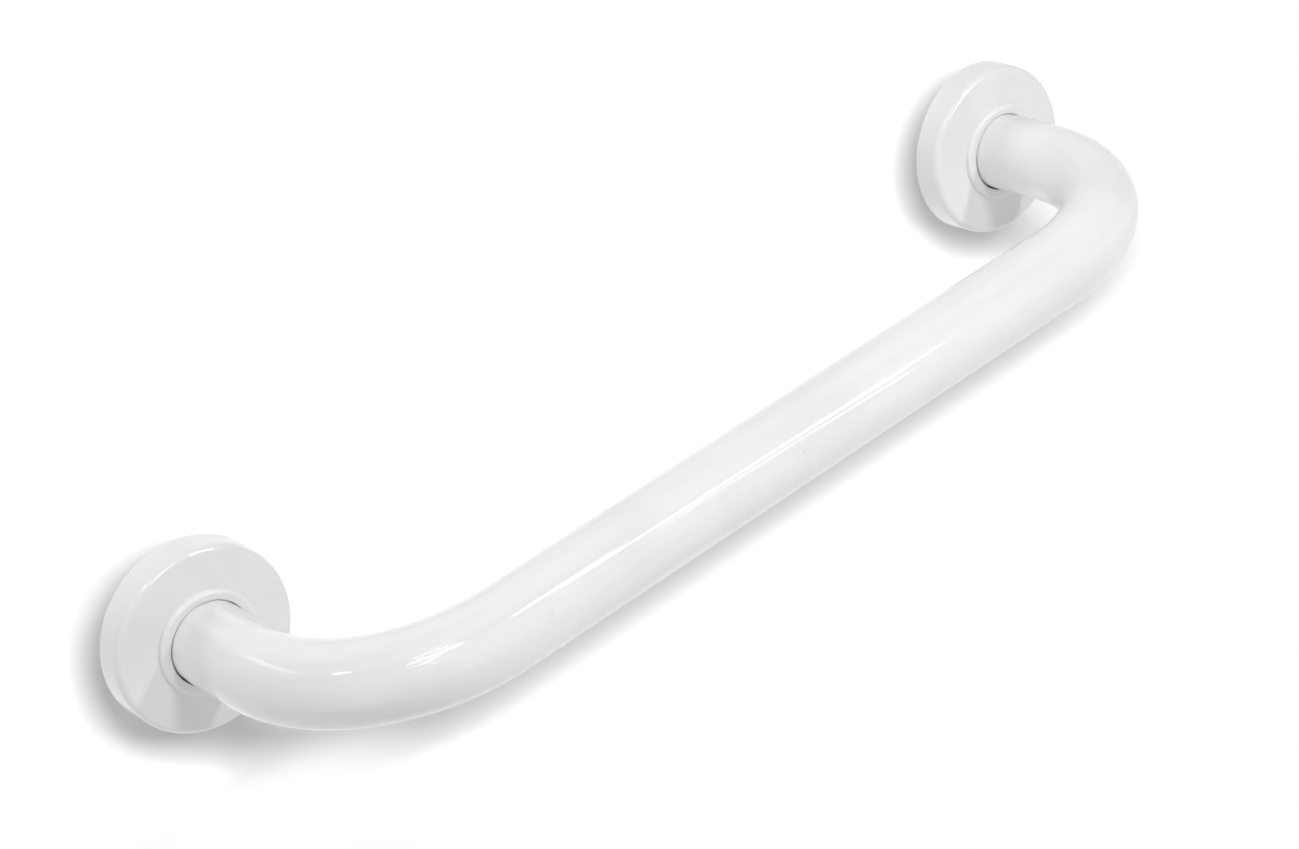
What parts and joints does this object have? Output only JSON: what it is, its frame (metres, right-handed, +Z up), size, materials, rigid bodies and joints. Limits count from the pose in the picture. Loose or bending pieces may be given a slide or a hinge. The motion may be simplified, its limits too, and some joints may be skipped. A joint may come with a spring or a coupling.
{
  "type": "grab bar",
  "caption": "Wall grab bar: a round handrail bent back to the wall at its ends, with welded screw flanges hidden by round covers that slide along the legs.",
  "frame": {"origin": "halfway between the legs, on the wall plane that the flanges sit on", "axes": "+X along the bar, +Y into the wall, +Z up"},
  "size_m": [0.53, 0.1355, 0.08],
  "materials": {
    "coated_tube": "gloss",
    "flange_steel": "satin",
    "cover_plastic": "gloss"
  },
  "bodies": {
    "bar": {"tube": "coated_tube", "left_flange": "flange_steel", "right_flange": "flange_steel"},
    "left_rose": {"left_cover": "cover_plastic"},
    "right_rose": {"right_cover": "cover_plastic"}
  },
  "joints": [
    {"name": "left_cover_slide", "type": "slide", "parent": "bar", "child": "left_rose", "axis": [0, -1, 0], "range_m": [0, 0.027]},
    {"name": "right_cover_slide", "type": "slide", "parent": "bar", "child": "right_rose", "axis": [0, -1, 0], "range_m": [0, 0.027]}
  ]
}
